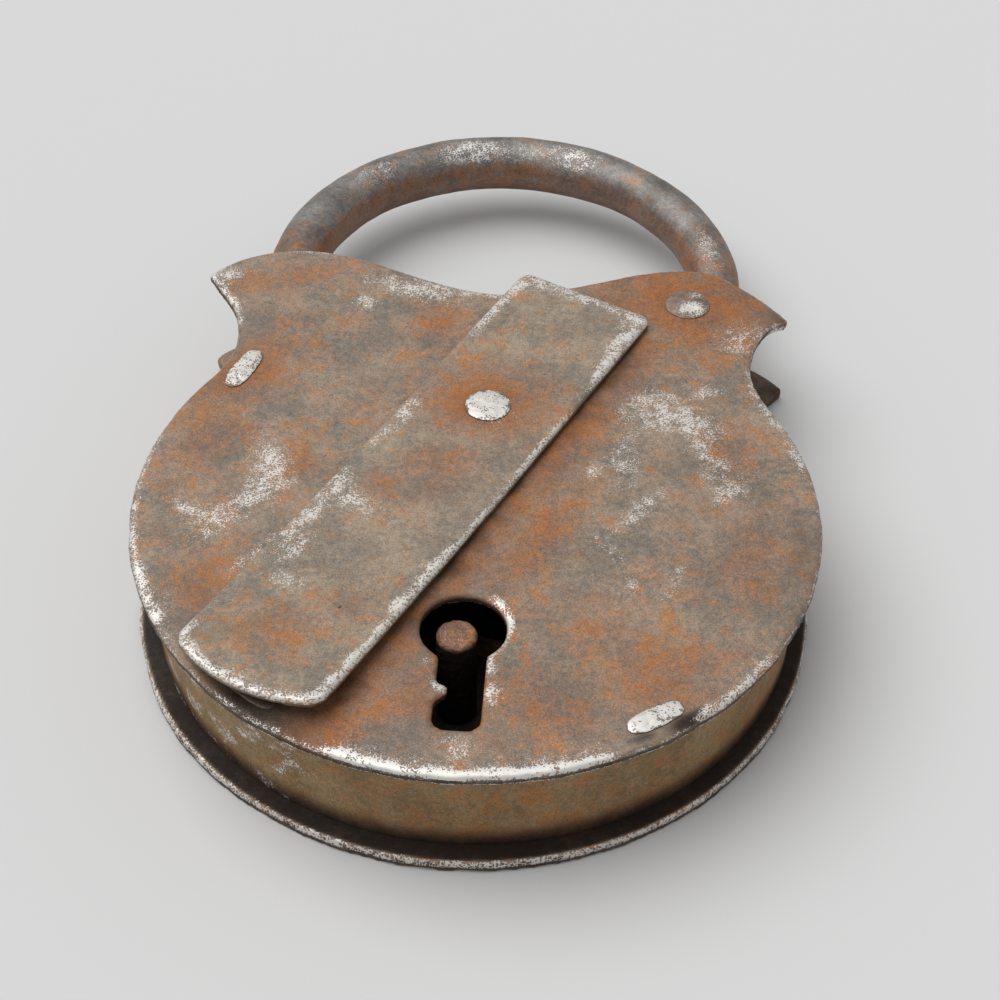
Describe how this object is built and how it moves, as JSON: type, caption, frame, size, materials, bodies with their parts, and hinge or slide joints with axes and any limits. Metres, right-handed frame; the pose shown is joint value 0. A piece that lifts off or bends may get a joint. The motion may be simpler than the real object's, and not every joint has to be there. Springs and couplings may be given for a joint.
{
  "type": "padlock",
  "caption": "Old iron plate padlock with a rusty heart-shaped case, a swing keyhole cover, a riveted round-bar shackle and a sliding bolt inside.",
  "frame": {"origin": "centre of the case's round body, on the outer face of the back plate", "axes": "+X to the right seen from the front, +Y towards the shackle, +Z out of the front plate"},
  "size_m": [0.0901, 0.1394, 0.0211],
  "materials": {
    "rusted_plate": "brown rust over grey iron, worn bright at the edges",
    "rusted_band": "even brown rust",
    "worn_shackle": "grey-brown iron with rubbed bright patches",
    "worn_rivet": "bright peened iron",
    "brown_pin": "matt brown rust",
    "inner_iron": "dark dry rust"
  },
  "bodies": {
    "case": {"back_plate": "rusted_plate", "front_plate": "rusted_plate", "rim_band": "rusted_band", "top_strip": "rusted_band", "hinge_rivet": "worn_rivet", "hinge_washer_back": "inner_iron", "hinge_washer_front": "inner_iron", "cover_rivet": "worn_rivet", "drill_pin": "brown_pin", "guide_post_upper": "inner_iron", "guide_post_lower": "inner_iron", "post_washer_upper": "inner_iron", "post_washer_lower": "inner_iron", "toe_stop_pin": "inner_iron", "ward_ring_back": "inner_iron", "ward_ring_front": "inner_iron", "bolt_spring": "inner_iron", "spring_post": "inner_iron"},
    "shackle": {"shackle": "worn_shackle"},
    "cover": {"keyhole_cover": "rusted_plate"},
    "bolt": {"bolt": "inner_iron"}
  },
  "joints": [
    {"name": "shackle_swing", "type": "hinge", "parent": "case", "child": "shackle", "pos_m": [0.0273, 0.0442, 0.0089], "axis": [0, 0, -1], "range_deg": [0, 102]},
    {"name": "cover_swing", "type": "hinge", "parent": "case", "child": "cover", "pos_m": [0.0002, 0.0182, 0.0185], "axis": [0, 0, 1], "continuous": true},
    {"name": "bolt_slide", "type": "slide", "parent": "case", "child": "bolt", "axis": [-1, 0, 0], "range_m": [0, 0.0065]}
  ]
}
